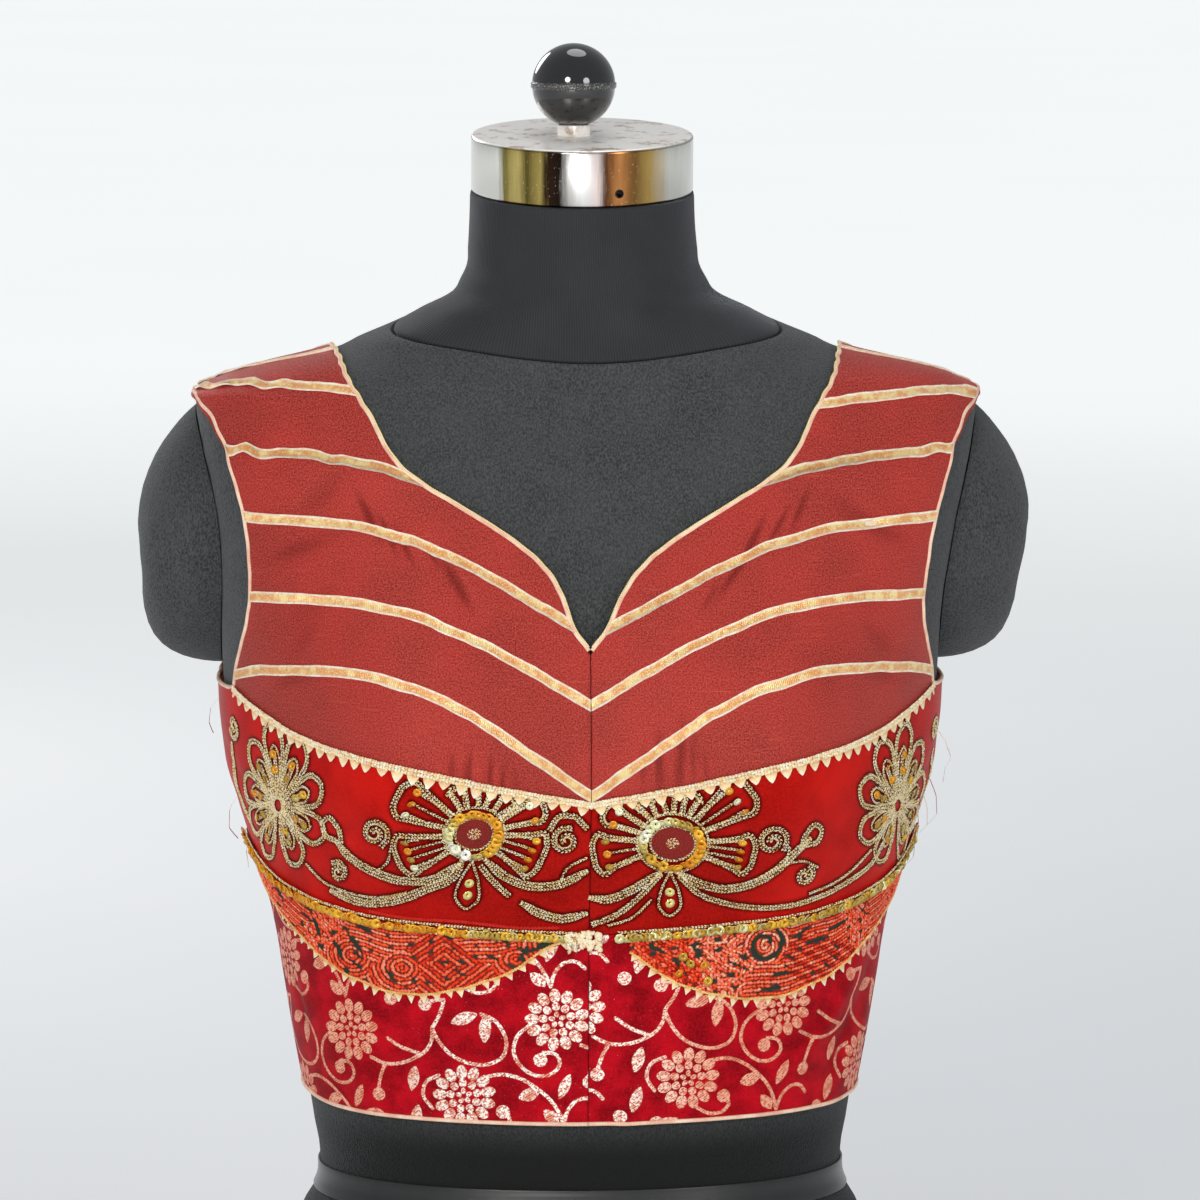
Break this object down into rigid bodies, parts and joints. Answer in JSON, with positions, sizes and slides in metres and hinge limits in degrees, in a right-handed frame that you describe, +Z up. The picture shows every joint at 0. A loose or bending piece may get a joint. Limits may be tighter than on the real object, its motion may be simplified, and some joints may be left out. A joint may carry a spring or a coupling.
{
  "type": "choli blouse on a dress form",
  "caption": "Sleeveless cropped choli blouse with V neck, ribbon-striped yoke, embroidered band and brocade waist, worn on a limbless black dress form",
  "frame": {"origin": "the middle of the flat underside of the dress form, where it rests", "axes": "+Z up; -Y towards the wearer's front; +X towards the wearer's left"},
  "size_m": [0.4196, 0.254, 0.6722],
  "materials": {
    "black_jersey": "matte stretched jersey",
    "grey_tape": "glossy vinyl tape",
    "polished_metal": "polished, a little tarnished",
    "black_knob": "glossy moulded",
    "maroon_silk": "slub silk with a soft sheen",
    "red_satin": "satin embroidered with gold cord and sequins",
    "crimson_brocade": "satin with woven pink-gold flowers",
    "orange_embroidery": "dense matte chain stitch with dark green",
    "gold_ribbon": "flat metallic ribbon with pale edges",
    "cream_lace": "toothed trim, dull gold and cream",
    "sequin_braid": "braid of gold sequins",
    "cream_piping": "satin roll"
  },
  "bodies": {
    "root": {"armhole_piping_l": "cream_piping", "armhole_piping_r": "cream_piping", "back_band": "red_satin", "back_lower": "crimson_brocade", "back_yoke": "maroon_silk", "band_l": "red_satin", "band_r": "red_satin", "braid_l": "sequin_braid", "braid_r": "sequin_braid", "crescent_l": "orange_embroidery", "crescent_lace_l": "cream_lace", "crescent_lace_r": "cream_lace", "crescent_r": "orange_embroidery", "form_arm_cap_l": "black_jersey", "form_arm_cap_r": "black_jersey", "form_knob": "black_knob", "form_knob_collar": "polished_metal", "form_neck_cap": "polished_metal", "form_torso": "black_jersey", "form_waist_band": "grey_tape", "hem_piping": "cream_piping", "lower_l": "crimson_brocade", "lower_r": "crimson_brocade", "neck_piping_back": "cream_piping", "neck_piping_l": "cream_piping", "neck_piping_r": "cream_piping", "ribbon_five_l": "gold_ribbon", "ribbon_five_r": "gold_ribbon", "ribbon_four_l": "gold_ribbon", "ribbon_four_r": "gold_ribbon", "ribbon_one_l": "gold_ribbon", "ribbon_one_r": "gold_ribbon", "ribbon_shoulder_l": "gold_ribbon", "ribbon_shoulder_r": "gold_ribbon", "ribbon_three_l": "gold_ribbon", "ribbon_three_r": "gold_ribbon", "ribbon_two_l": "gold_ribbon", "ribbon_two_r": "gold_ribbon", "yoke_l": "maroon_silk", "yoke_lace_l": "cream_lace", "yoke_lace_r": "cream_lace", "yoke_r": "maroon_silk"}
  },
  "joints": []
}
